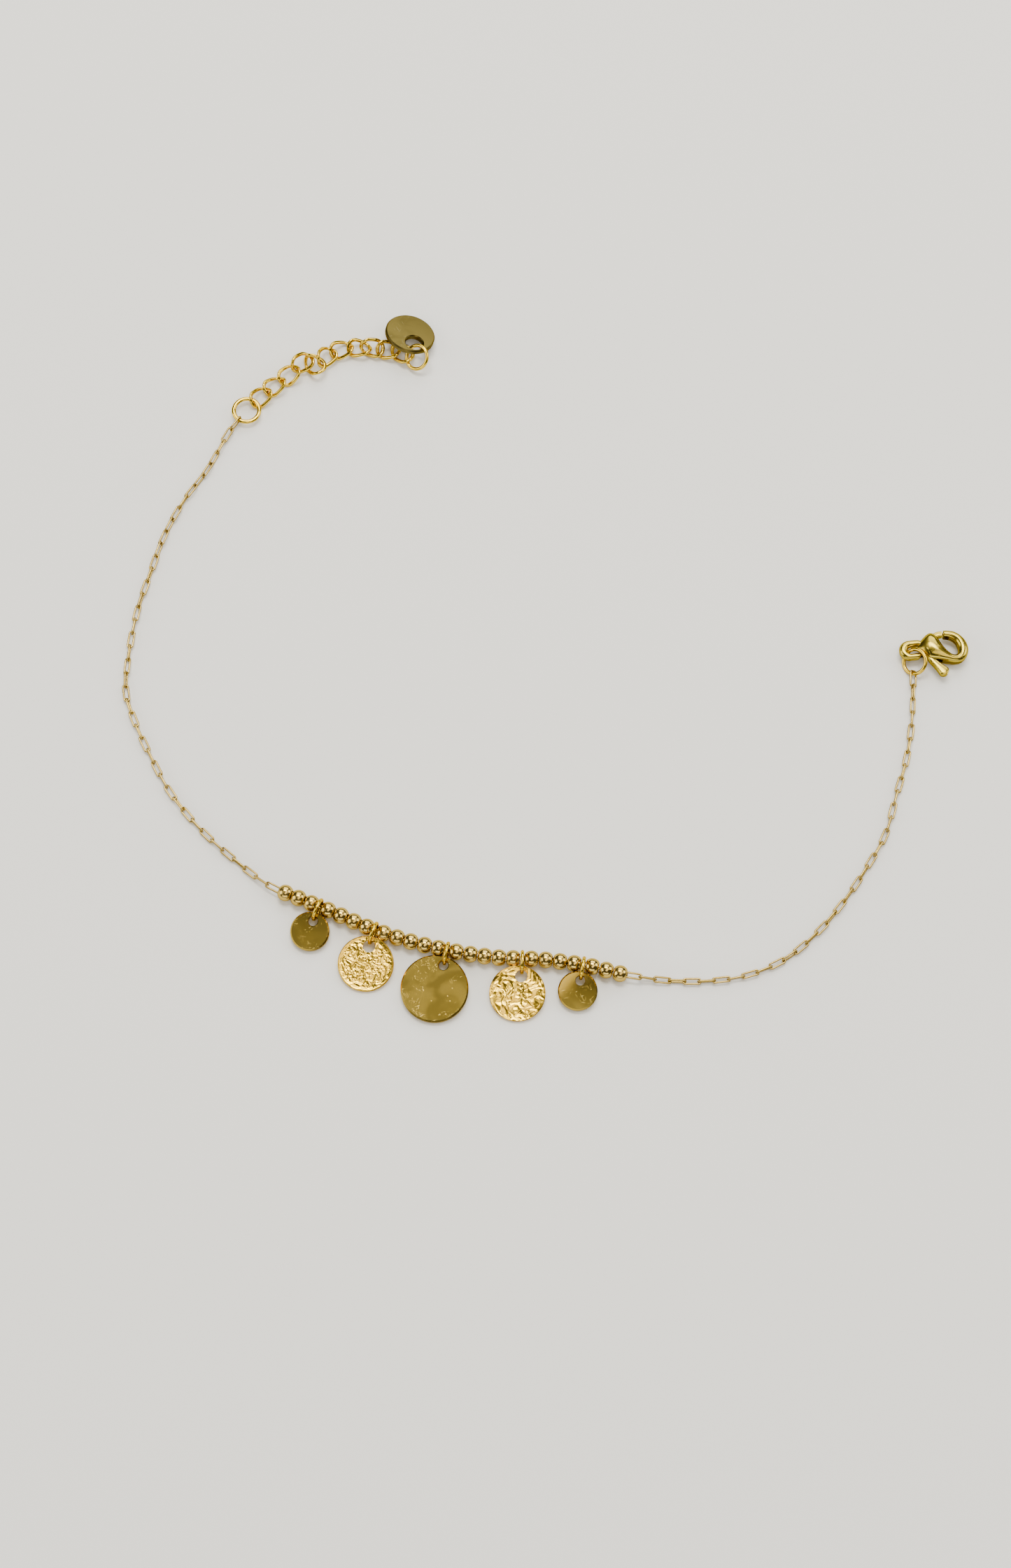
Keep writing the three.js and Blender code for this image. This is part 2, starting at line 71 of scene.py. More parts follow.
def addNode(tree, kind, inputs=None, **settings):
    node = tree.nodes.new(kind)
    for key, value in settings.items():
        setattr(node, key, value)
    for key, value in (inputs or {}).items():
        if isinstance(value, bpy.types.NodeSocket):
            tree.links.new(value, node.inputs[key])
        else:
            node.inputs[key].default_value = value
    return node


def mathNode(tree, operation, a, b=0.0):
    return addNode(tree, "ShaderNodeMath", {0: a, 1: b}, operation=operation).outputs[0]


def maskFrom(tree, value, low, high):
    return addNode(tree, "ShaderNodeMapRange", {"Value": value, "From Min": low, "From Max": high},
                   interpolation_type="SMOOTHSTEP").outputs[0]


def newGroup(name, inputs, outputs):
    group = bpy.data.node_groups.new(name, "ShaderNodeTree")
    for label, value in inputs.items():
        socket = group.interface.new_socket(label, in_out="INPUT", socket_type="NodeSocketFloat")
        socket.default_value = value
    for label in outputs:
        group.interface.new_socket(label, in_out="OUTPUT", socket_type="NodeSocketFloat")
    return group, group.nodes.new("NodeGroupInput").outputs, group.nodes.new("NodeGroupOutput").inputs


# scratches: three sets of long thin streaks, each with its turn and how long it is drawn, kept to patches;
# the materials paint them a paler gold as painted glints
scratchForm = {
    "sets": ((0.5, 30), (1.9, 18), (2.7, 24)), "deep": 30, "streak": (0.7, 0.76),
    "patchScale": 260, "patch": (0.45, 0.62),
}


def makeScratches():
    group, given, result = newGroup("scratches", {"Scale": 14000, "Amount": 0.5}, ["Mask"])
    place = addNode(group, "ShaderNodeTexCoord").outputs["Object"]
    total = None
    for turn, long in scratchForm["sets"]:
        size = (1, long, scratchForm["deep"])
        laid = addNode(group, "ShaderNodeMapping", {"Vector": place, "Rotation": (0, 0, turn), "Scale": size},
                       vector_type="TEXTURE").outputs[0]
        streak = addNode(group, "ShaderNodeTexNoise", {"Vector": laid, "Scale": given["Scale"],
                                                       "Detail": 1.0}).outputs["Fac"]
        line = maskFrom(group, streak, *scratchForm["streak"])
        total = line if total is None else mathNode(group, "MAXIMUM", total, line)
    patch = addNode(group, "ShaderNodeTexNoise", {"Vector": place,
                                                  "Scale": scratchForm["patchScale"]}).outputs["Fac"]
    total = mathNode(group, "MULTIPLY", total, maskFrom(group, patch, *scratchForm["patch"]))
    group.links.new(mathNode(group, "MULTIPLY", total, given["Amount"]), result["Mask"])
    return group


# handling: soft smudges that dull the polish, and pin-prick dents
handlingForm = {
    "smudge": (0.42, 0.66), "smudgeDetail": 3, "smudgeBend": 0.6,
    "dentScale": 1600, "dent": (0.05, 0.14), "sparseScale": 420, "sparse": (0.5, 0.6),
}


def makeHandling():
    group, given, result = newGroup("handling", {"Scale": 500, "Smudge": 0.5, "Pits": 0.5},
                                    ["Smudge", "Pit"])
    place = addNode(group, "ShaderNodeTexCoord").outputs["Object"]
    form = handlingForm
    cloud = addNode(group, "ShaderNodeTexNoise", {"Vector": place, "Scale": given["Scale"],
                                                  "Detail": form["smudgeDetail"],
                                                  "Distortion": form["smudgeBend"]}).outputs["Fac"]
    cloud = maskFrom(group, cloud, *form["smudge"])
    group.links.new(mathNode(group, "MULTIPLY", cloud, given["Smudge"]), result["Smudge"])
    cell = addNode(group, "ShaderNodeTexVoronoi", {"Vector": place, "Scale": form["dentScale"],
                                                   "Randomness": 1.0}).outputs["Distance"]
    dent = mathNode(group, "SUBTRACT", 1.0, maskFrom(group, cell, *form["dent"]))
    sparse = addNode(group, "ShaderNodeTexNoise", {"Vector": place,
                                                   "Scale": form["sparseScale"]}).outputs["Fac"]
    dent = mathNode(group, "MULTIPLY", dent, maskFrom(group, sparse, *form["sparse"]))
    group.links.new(mathNode(group, "MULTIPLY", dent, given["Pits"]), result["Pit"])
    return group


# ripple: the slight unevenness of cast, drawn or rolled metal
def makeRipple():
    group, given, result = newGroup("ripple", {"Scale": 900, "Amount": 0.5}, ["Height"])
    place = addNode(group, "ShaderNodeTexCoord").outputs["Object"]
    wave = addNode(group, "ShaderNodeTexNoise", {"Vector": place, "Scale": given["Scale"],
                                                 "Detail": 2.0}).outputs["Fac"]
    group.links.new(mathNode(group, "MULTIPLY", wave, given["Amount"]), result["Height"])
    return group


scratches, handling, ripple = makeScratches(), makeHandling(), makeRipple()


dulling = {"smudge": 0.22, "scratch": 0.2}   # how much rougher smudges and scratches make the metal


def goldMaterial(name, look):
    material = bpy.data.materials.new(name)
    material.use_nodes = True
    tree = material.node_tree
    shader = tree.nodes["Principled BSDF"]
    shader.inputs["Metallic"].default_value = 1.0
    shader.inputs["Specular Tint"].default_value = (*look["edge"], 1)
    marks = addNode(tree, "ShaderNodeGroup", {}, node_tree=scratches)
    marks.inputs["Scale"].default_value = look["scratchScale"]
    marks.inputs["Amount"].default_value = look["scratches"]
    touch = addNode(tree, "ShaderNodeGroup", {}, node_tree=handling)
    touch.inputs["Scale"].default_value = look["smudgeScale"]
    touch.inputs["Smudge"].default_value = look["smudge"]
    touch.inputs["Pits"].default_value = look["pits"]
    uneven = addNode(tree, "ShaderNodeGroup", {}, node_tree=ripple)
    uneven.inputs["Scale"].default_value = look["rippleScale"]
    uneven.inputs["Amount"].default_value = look["ripple"]

    tone = addNode(tree, "ShaderNodeMix", {"Factor": touch.outputs["Smudge"]}, data_type="RGBA")
    tone.inputs["A"].default_value = (*look["colour"], 1)
    tone.inputs["B"].default_value = (*look["dullColour"], 1)
    # scratch lines are real wear in the roughness and bump, and painted highlight in their paler gold colour
    bright = addNode(tree, "ShaderNodeMix", {"Factor": marks.outputs["Mask"]}, data_type="RGBA")
    tree.links.new(tone.outputs["Result"], bright.inputs["A"])
    bright.inputs["B"].default_value = (*look["scratchGlintColour"], 1)
    tree.links.new(bright.outputs["Result"], shader.inputs["Base Color"])

    smeared = mathNode(tree, "MULTIPLY", touch.outputs["Smudge"], dulling["smudge"])
    scored = mathNode(tree, "MULTIPLY", marks.outputs["Mask"], dulling["scratch"])
    rough = mathNode(tree, "ADD", mathNode(tree, "ADD", look["roughness"], smeared), scored)
    tree.links.new(rough, shader.inputs["Roughness"])

    height = mathNode(tree, "SUBTRACT", uneven.outputs["Height"], marks.outputs["Mask"])
    height = mathNode(tree, "SUBTRACT", height, touch.outputs["Pit"])
    bump = addNode(tree, "ShaderNodeBump", {"Strength": 1.0, "Distance": look["bump"] * mm, "Height": height})
    tree.links.new(bump.outputs["Normal"], shader.inputs["Normal"])
    return material


goldLooks = {
    "beadGold": {
        "colour": (0.58, 0.41, 0.10), "dullColour": (0.50, 0.34, 0.08),
        "scratchGlintColour": (0.95, 0.78, 0.38), "edge": (0.72, 0.60, 0.30), "roughness": 0.15,
        "scratches": 0.25, "scratchScale": 16000, "smudge": 0.4, "smudgeScale": 700, "pits": 0.4,
        "ripple": 0.5, "rippleScale": 900, "bump": 0.02,
    },
    "chainGold": {
        "colour": (0.44, 0.315, 0.09), "dullColour": (0.34, 0.235, 0.06),
        "scratchGlintColour": (0.90, 0.74, 0.38), "edge": (0.60, 0.46, 0.19), "roughness": 0.16,
        "scratches": 0.2, "scratchScale": 16000, "smudge": 0.6, "smudgeScale": 420, "pits": 0.2,
        "ripple": 0.8, "rippleScale": 1800, "bump": 0.01,
    },
    "linkGold": {
        "colour": (0.70, 0.48, 0.045), "dullColour": (0.52, 0.33, 0.03),
        "scratchGlintColour": (0.98, 0.82, 0.36), "edge": (0.74, 0.53, 0.12), "roughness": 0.13,
        "scratches": 0.3, "scratchScale": 15000, "smudge": 0.4, "smudgeScale": 500, "pits": 0.4,
        "ripple": 0.9, "rippleScale": 1100, "bump": 0.03,
    },
    "satinGold": {
        "colour": (0.42, 0.295, 0.05), "dullColour": (0.39, 0.27, 0.05),
        "scratchGlintColour": (0.90, 0.78, 0.42), "edge": (0.78, 0.64, 0.32), "roughness": 0.14,
        "scratches": 0.35, "scratchScale": 20000, "smudge": 0.2, "smudgeScale": 300, "pits": 1.0,
        "ripple": 0.1, "rippleScale": 260, "bump": 0.008,
    },
    # the tag's gold is painted very dark: painted shade standing for the dim room it reflects from above
    "tagGoldPaintedShade": {
        "colour": (0.12, 0.092, 0.024), "dullColour": (0.10, 0.077, 0.02),
        "scratchGlintColour": (0.5, 0.42, 0.18), "edge": (0.55, 0.43, 0.18), "roughness": 0.28,
        "scratches": 0.4, "scratchScale": 12000, "smudge": 0.5, "smudgeScale": 350, "pits": 0.6,
        "ripple": 0.6, "rippleScale": 400, "bump": 0.008,
    },
    "beatenGold": {
        "colour": (0.86, 0.56, 0.055), "dullColour": (0.72, 0.44, 0.04),
        "scratchGlintColour": (1.0, 0.88, 0.5), "edge": (0.90, 0.68, 0.18), "roughness": 0.18,
        "scratches": 0.2, "scratchScale": 16000, "smudge": 0.4, "smudgeScale": 650, "pits": 0.4,
        "ripple": 0.8, "rippleScale": 2600, "bump": 0.02,
    },
    "claspGold": {
        "colour": (0.45, 0.345, 0.045), "dullColour": (0.36, 0.265, 0.03),
        "scratchGlintColour": (0.9, 0.74, 0.3), "edge": (0.66, 0.51, 0.12), "roughness": 0.15,
        "scratches": 0.4, "scratchScale": 15000, "smudge": 0.5, "smudgeScale": 450, "pits": 0.7,
        "ripple": 0.6, "rippleScale": 700, "bump": 0.02,
    },
}
gold = {name: goldMaterial(name, look) for name, look in goldLooks.items()}
print("materials ready:", len(gold))


def tidy(bm):
    bmesh.ops.remove_doubles(bm, verts=bm.verts, dist=0.0005)
    bmesh.ops.recalc_face_normals(bm, faces=bm.faces)


# a profile of (radius, height) points, turned about Z
def turned(profile, steps, closed=False):
    bm = bmesh.new()
    verts = [bm.verts.new((radius, 0, height)) for radius, height in profile]
    edges = [bm.edges.new(pair) for pair in zip(verts, verts[1:])]
    if closed:
        edges.append(bm.edges.new((verts[-1], verts[0])))
    bmesh.ops.spin(bm, geom=verts + edges, cent=(0, 0, 0), axis=(0, 0, 1),
                   angle=2 * math.pi, steps=steps, use_merge=True)
    tidy(bm)
    return bm


def wireRing(radius, wire, steps, sides, flatten=1.0):
    bm = bmesh.new()
    section = Matrix.Translation((radius, 0, 0)) @ Matrix.Rotation(math.pi / 2, 4, "X")
    section = Matrix.Rotation(math.pi / steps, 4, "Z") @ section
    bmesh.ops.create_circle(bm, segments=sides, radius=wire / 2, matrix=section)
    bmesh.ops.spin(bm, geom=bm.verts[:] + bm.edges[:], cent=(0, 0, 0), axis=(0, 0, 1),
                   angle=2 * math.pi, steps=steps, use_merge=True)
    bmesh.ops.scale(bm, vec=(1, 1, flatten), verts=bm.verts)
    tidy(bm)
    return bm


# a ring pulled out into a link with straight sides, twisted about its length
def wireLink(link, length):
    bm = wireRing(link["corner"], link["wire"], link["steps"], link["sides"], link.get("flatten", 1.0))
    halfLong = length / 2 - link["wire"] / 2
    longWay = halfLong - link["corner"]
    wideWay = link["width"] / 2 - link["wire"] / 2 - link["corner"]
    for way, vec in (((1, 0), (longWay, 0, 0)), ((0, 1), (0, wideWay, 0))):
        side = Vector((*way, 0))
        bmesh.ops.translate(bm, vec=vec, verts=[v for v in bm.verts if v.co.dot(side) > 0])
        bmesh.ops.translate(bm, vec=-Vector(vec), verts=[v for v in bm.verts if v.co.dot(side) < 0])
    straight = [e for e in bm.edges if e.calc_length() > link["corner"] * 0.5]
    bmesh.ops.subdivide_edges(bm, edges=straight, cuts=3, use_grid_fill=True)
    twist = math.radians(link.get("twist", 0)) / halfLong
    for v in bm.verts:
        v.co = Matrix.Rotation(twist * v.co.x, 3, "X") @ v.co
    tidy(bm)
    return bm


def toMesh(bm, name):
    mesh = bpy.data.meshes.new(name)
    bm.to_mesh(mesh)
    bm.free()
    return mesh


def placeCopy(bm, mesh, matrix):
    before = len(bm.verts)
    bm.from_mesh(mesh)
    bm.verts.ensure_lookup_table()
    bmesh.ops.transform(bm, matrix=matrix, verts=bm.verts[before:])


def cutOrJoin(bm, other, operation):
    pair = []
    for name, part in (("work", bm), ("tool", other)):
        thing = bpy.data.objects.new(name, toMesh(part, name))
        bpy.context.scene.collection.objects.link(thing)
        pair.append(thing)
    step = pair[0].modifiers.new("step", "BOOLEAN")
    step.object, step.operation, step.solver = pair[1], operation, "EXACT"
    mesh = bpy.data.meshes.new_from_object(pair[0].evaluated_get(bpy.context.evaluated_depsgraph_get()))
    result = bmesh.new()
    result.from_mesh(mesh)
    for thing in pair:
        bpy.data.objects.remove(thing)
    bpy.data.meshes.remove(mesh)
    return result


def finishPiece(bm, name, material, nodes, body="bracelet", place=None, sharp=None):
    if place is not None:
        bmesh.ops.transform(bm, matrix=place, verts=bm.verts)
    bmesh.ops.scale(bm, vec=(mm, mm, mm), verts=bm.verts)
    mesh = toMesh(bm, name)
    mesh.shade_smooth()
    if sharp:
        mesh.set_sharp_from_angle(angle=math.radians(sharp))
    mesh.materials.append(gold[material])
    piece = bpy.data.objects.new(name, mesh)
    bpy.context.scene.collection.objects.link(piece)
    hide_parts(*nodes)
    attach(piece, body)
    return piece


# where a CAD node lies: its middle, its longest way as X and its thinnest as Z. A disc has most of its
# corners round its hole, so with towardsHole their mean gives X
def seatOf(node, towardsHole=False):
    points = np.array([v.co for v in frame["nodes"][node].data.vertices]) / mm
    mean = points.mean(axis=0)
    ways = [Vector(way) for way in np.linalg.svd(points - mean, full_matrices=False)[2]]
    z = ways[2] if ways[2].z >= 0 else -ways[2]
    x = ways[0]
    local = [[(Vector(p) - Vector(mean)).dot(way) for p in points] for way in (x, z.cross(x), z)]
    shift = [(min(values) + max(values)) / 2 for values in local]
    centre = Vector(mean) + x * shift[0] + z.cross(x) * shift[1] + z * shift[2]
    if towardsHole:
        x = Vector(mean) - centre
        x = (x - z * x.dot(z)).normalized()
    y = z.cross(x)
    return Matrix.Translation(centre) @ Matrix((x, y, z)).transposed().to_4x4()


string = {
    "route": [
        (-46.85, 39.4), (-48.8, 36.6), (-51.8, 30.6), (-55.2, 25.3), (-57.9, 19.5), (-59.8, 13.2),
        (-61.5, 7), (-62.5, -0.4), (-62.6, -6.2), (-61, -11.1), (-58.7, -16), (-55.4, -22),
        (-50.8, -27.7), (-45.5, -32.6), (-40.1, -36.8), (-36.3, -38.5), (-31.3, -40.6), (-26, -43),
        (-20, -45.1), (-13.2, -46.7), (-7, -47.6), (-0.6, -47.9), (6.3, -48.9), (10.5, -50),
        (16.7, -50.8), (22.9, -50.9), (28.8, -50), (34.3, -47.6), (39.2, -43.5), (43.1, -38.9),
        (46.6, -33.8), (49.6, -28.6), (51.5, -22.5), (53.3, -16.6), (54.4, -10.3), (54.9, -2.7),
    ],
    "firstBead": 90.3, "groups": [3, 4, 5, 5, 4, 3], "beadGap": 0.05, "ringRoom": 0.61,
    "climb": 6, "lead": 1.5, "startHeight": 0.95, "endHeight": 0.722,
}
chain = {
    "pitch": 2.17, "width": 1.06, "wire": 0.3, "corner": 0.28, "endWidth": 1.34, "steps": 20, "sides": 10,
    "leftRoll": 10, "leftEnd": 80, "beadRoll": 45, "rightRoll": 0, "rightEnd": 35,   # turns in degrees
    "settling": 4, "loose": 16, "lift": 0.015, "shortOfBead": 0.5,
}
bead = {"diameter": 2.4, "bore": 1.3, "lip": 0.07, "steps": 40, "arc": 18, "turnEach": 1.3}


def smooth(t):
    t = min(max(t, 0), 1)
    return t * t * (3 - 2 * t)


# a centripetal Catmull-Rom curve through the points
def curveThrough(points, perSpan=40):
    points = [Vector((*p, 0)) for p in points]
    points = [points[0] * 2 - points[1]] + points + [points[-1] * 2 - points[-2]]
    line = []
    for a, b, c, d in zip(points, points[1:], points[2:], points[3:]):
        first, middle, last = ((q - p).length ** 0.5 for p, q in ((a, b), (b, c), (c, d)))
        into = ((b - a) / first - (c - a) / (first + middle) + (c - b) / middle) * middle
        out = ((c - b) / middle - (d - b) / (middle + last) + (d - c) / last) * middle
        for i in range(perSpan):
            t = i / perSpan
            line.append(b + into * t + (3 * (c - b) - 2 * into - out) * t ** 2
                        + (2 * (b - c) + into + out) * t ** 3)
    return line + [points[-2]]


stringLine = curveThrough(string["route"])
stringMarks = np.concatenate(([0], np.cumsum([(q - p).length for p, q in zip(stringLine, stringLine[1:])])))
stringLength = stringMarks[-1]
beadLength = math.sqrt(bead["diameter"] ** 2 - bead["bore"] ** 2)
beadPlaces, at = [], string["firstBead"]
for count in string["groups"]:
    for i in range(count):
        beadPlaces.append(at)
        at += beadLength + (string["beadGap"] if i < count - 1 else string["ringRoom"])


def stringPoint(s):
    s = min(max(s, 0), stringLength)
    i = min(int(np.searchsorted(stringMarks, s, side="right")) - 1, len(stringLine) - 2)
    share = (s - stringMarks[i]) / (stringMarks[i + 1] - stringMarks[i])
    point = stringLine[i].lerp(stringLine[i + 1], share)
    low = chain["width"] / 2 + chain["lift"]
    climb, lead = string["climb"], string["lead"]
    point.z = low + (bead["diameter"] / 2 - low) * smooth(1 - (beadPlaces[0] - s - lead) / climb) \
        * smooth(1 - (s - beadPlaces[-1] - lead) / climb)
    point.z += (string["startHeight"] - low) * smooth(1 - s / climb)
    point.z += (string["endHeight"] - low) * smooth(1 - (stringLength - s) / climb)
    return point


def stringFrame(s, roll=0.0):
    reach = chain["pitch"] / 2
    x = (stringPoint(s + reach) - stringPoint(s - reach)).normalized()
    y = Vector((0, 0, 1)).cross(x).normalized()
    turn = Matrix((x, y, x.cross(y))).transposed().to_4x4()
    return Matrix.Translation(stringPoint(s)) @ turn @ Matrix.Rotation(math.radians(roll), 4, "X")


# the links between two places on the string, each a quarter turn from the next
def linkRun(start, end, roll, endTurn=0, endFirst=True, wideEnd=True):
    count = round((end - start) / chain["pitch"])
    step = (end - start - 2 * chain["wire"]) / count
    length = step + 2 * chain["wire"]
    run = bmesh.new()
    plain = toMesh(wireLink(chain, length), "link")
    wide = toMesh(wireLink({**chain, "width": chain["endWidth"]}, length), "link")
    for i in range(count):
        fromEnd = i if endFirst else count - 1 - i
        turn = roll + 90 * fromEnd + endTurn * smooth(1 - fromEnd / chain["settling"])
        if fromEnd:
            turn += random.uniform(-1, 1) * chain["loose"]
        placeCopy(run, wide if wideEnd and fromEnd == 0 else plain,
                  stringFrame(start + length / 2 + i * step, turn))
    return run


def joinRuns(first, second):
    placeCopy(first, toMesh(second, "run"), Matrix.Identity(4))
    return first


into = beadLength / 2 - chain["shortOfBead"]   # the runs stop this far from the middle of the end beads
middle = beadPlaces[len(beadPlaces) // 2 - 1]
hook = 2 * chain["wire"]
leftEnd, rightStart = beadPlaces[0] - into, beadPlaces[-1] + into
left = joinRuns(linkRun(0, leftEnd, chain["leftRoll"], chain["leftEnd"]),
                linkRun(leftEnd - hook, middle, chain["beadRoll"], wideEnd=False))
finishPiece(left, "fineChainLeft", "chainGold", ["chain_left"])
right = joinRuns(linkRun(rightStart, stringLength, chain["rightRoll"], chain["rightEnd"], endFirst=False),
                 linkRun(middle - hook, rightStart + hook, chain["beadRoll"], wideEnd=False))
finishPiece(right, "fineChainRight", "chainGold", ["chain_right"])
print("fine chain ready")


def makeBead(index, place):
    radius, bore, lip = bead["diameter"] / 2, bead["bore"] / 2, bead["lip"]
    opening = math.asin((bore + lip) / radius)
    profile = []
    for i in range(bead["arc"] + 1):
        angle = opening + (math.pi - 2 * opening) * i / bead["arc"]
        profile.append((radius * math.sin(angle), radius * math.cos(angle)))
    end = radius * math.cos(opening)
    for share in (0.3, 0.7, 1):   # the rounded lip of the hole
        angle = share * math.pi / 2
        profile.append((bore + lip * (1 - math.sin(angle)), -end + lip * (1 - math.cos(angle))))
    profile += [(r, -z) for r, z in reversed(profile[-3:])]
    bm = turned(profile, bead["steps"], closed=True)
    place = place @ Matrix.Rotation(math.pi / 2, 4, "Y") @ Matrix.Rotation(index * bead["turnEach"], 4, "Z")
    finishPiece(bm, f"bead{index:02d}", "beadGold", [f"bead_{index:02d}"], place=place)


for index, s in enumerate(beadPlaces, 1):
    makeBead(index, stringFrame(s))
print("beads ready:", len(beadPlaces))


rings = {
    "charmRing": {"diameter": 3.5, "wire": 0.52, "flatten": 1.0},
    "extenderRing": {"diameter": 4.6, "wire": 0.66, "flatten": 0.85},
    "tagRing": {"diameter": 4.2, "wire": 0.56, "flatten": 1.0},
    "claspRing": {"diameter": 4.22, "wire": 0.56, "flatten": 1.0},
    "steps": 72, "sides": 14,
}
extender = {
    "count": 11, "length": 4.0, "width": 3.1, "wire": 0.58, "corner": 1.1, "twist": -40, "flatten": 0.92,
    "steps": 48, "sides": 12,
}


def makeRing(kind, name, node):
    ring = rings[kind]
    bm = wireRing(ring["diameter"] / 2 - ring["wire"] / 2, ring["wire"], rings["steps"], rings["sides"],
                  ring["flatten"])
    finishPiece(bm, name, "linkGold", [node], place=seatOf(node))


for i in range(1, len(string["groups"])):
    makeRing("charmRing", f"charmRing{i}", f"charm_ring_{i}")
makeRing("extenderRing", "extenderRing", "extender_ring")
makeRing("tagRing", "tagRing", "tag_ring")
makeRing("claspRing", "claspRing", "clasp_ring")

for i in range(1, extender["count"] + 1):
    node = f"extender_link_{i:02d}"
    finishPiece(wireLink(extender, extender["length"]), f"extenderLink{i:02d}", "linkGold", [node],
                place=seatOf(node))
print("rings and extender ready")


small = {"diameter": 5.7, "thickness": 1, "hole": 1.4, "strip": 0.62, "chamfer": 0.2}
large = {"diameter": 9.8, "thickness": 1, "hole": 1.4, "strip": 0.58, "chamfer": 0.2}
tagForm = {"diameter": 7.8, "thickness": 0.85, "hole": 2.8, "strip": 0.45, "chamfer": 0.2}
thin = {"diameter": 8.1, "thickness": 0.55, "hole": 1.8, "strip": 0.6, "chamfer": 0.08}
satin = {"finish": "satinGold", "slot": "satin_discs"}
beatenFinish = {"finish": "beatenGold", "slot": "hammered_discs"}
discs = {
    "disc_small_left": {"name": "discSmallLeft", **small, "dish": 0.05, **satin},
    "disc_large": {"name": "discLarge", **large, "dish": 0.03, **satin},
    "disc_small_right": {"name": "discSmallRight", **small, "dish": 0.12, **satin},
    # this finish carries painted shade: the tag's colour is darkened to stand for the dim reflection above it
    "tag": {"name": "tagDisc", **tagForm, "dish": -0.05, "finish": "tagGoldPaintedShade", "slot": "satin_discs"},
    "disc_hammered_left": {
        "name": "discBeatenLeft", **thin, "dish": 0, **beatenFinish,
        "beaten": {"scale": 0.95, "warp": 0.35, "ridge": 0.3, "depth": 0.14, "seed": 3, "rim": 0.92},
    },
    "disc_hammered_right": {
        "name": "discBeatenRight", **thin, "dish": 0, **beatenFinish,
        "beaten": {"scale": 0.5, "warp": 0.9, "ridge": 0.45, "depth": 0.2, "seed": 11, "rim": 0.96},
    },
}
ridges = {"wander": 0.9, "sizes": ((1, 0.62), (2.3, 0.38))}   # how fine each set of ridges is, and its share
discMesh = {
    "rings": 14, "steps": 128, "beatenRings": 52, "beatenSteps": 192, "fade": 0.05, "fadeOver": 0.12,
    "holeSteps": 64, "flare": 0.6, "sharp": 32,
}


# how far a beaten face is sunk at a place: two sizes of winding ridges, with dips between
def beatenDrop(x, y, beaten):
    p = Vector((x * beaten["scale"], y * beaten["scale"], beaten["seed"]))
    p += noise.noise_vector(p * ridges["wander"]) * beaten["warp"]
    raised = 0
    for times, share in ridges["sizes"]:
        raised += share * (1 - min(abs(noise.noise(p * times)) / beaten["ridge"], 1))
    return beaten["depth"] * (1 - raised)


def makeDisc(node):
    disc = discs[node]
    radius, half, chamfer = disc["diameter"] / 2, disc["thickness"] / 2, disc["chamfer"]
    beaten = disc.get("beaten")
    flat = radius - chamfer
    count = discMesh["beatenRings" if beaten else "rings"]
    steps = discMesh["beatenSteps" if beaten else "steps"]
    rim = [(flat, -half), (radius, -half + chamfer), (radius, half - chamfer), (flat, half)]
    shares = [i / count for i in range(count - 1, -1, -1)]
    face = [(flat * share, half - disc["dish"] * (1 - share ** 2)) for share in shares]
    bm = turned([(0, -half), (flat * 0.5, -half)] + rim + face, steps)
    if beaten:
        edge = beaten["rim"] + discMesh["fade"]
        for v in bm.verts:
            share = v.co.xy.length / radius
            if v.co.z > 0 and share < edge:
                fade = smooth((edge - share) / discMesh["fadeOver"])
                v.co.z -= beatenDrop(v.co.x, v.co.y, beaten) * fade
    hole, flare = disc["hole"] / 2, chamfer * discMesh["flare"]
    mouth = hole + flare + half
    drill = turned([(0, -2 * half), (mouth, -2 * half), (hole, -half + flare),
                    (hole, half - flare), (mouth, 2 * half), (0, 2 * half)], discMesh["holeSteps"])
    bmesh.ops.translate(drill, vec=(radius - disc["strip"] - hole, 0, 0), verts=drill.verts)
    bm = cutOrJoin(bm, drill, "DIFFERENCE")
    finishPiece(bm, disc["name"], disc["finish"], [node],
                place=seatOf(node, towardsHole=True), sharp=discMesh["sharp"])


for node in discs:
    makeDisc(node)
print("discs ready")


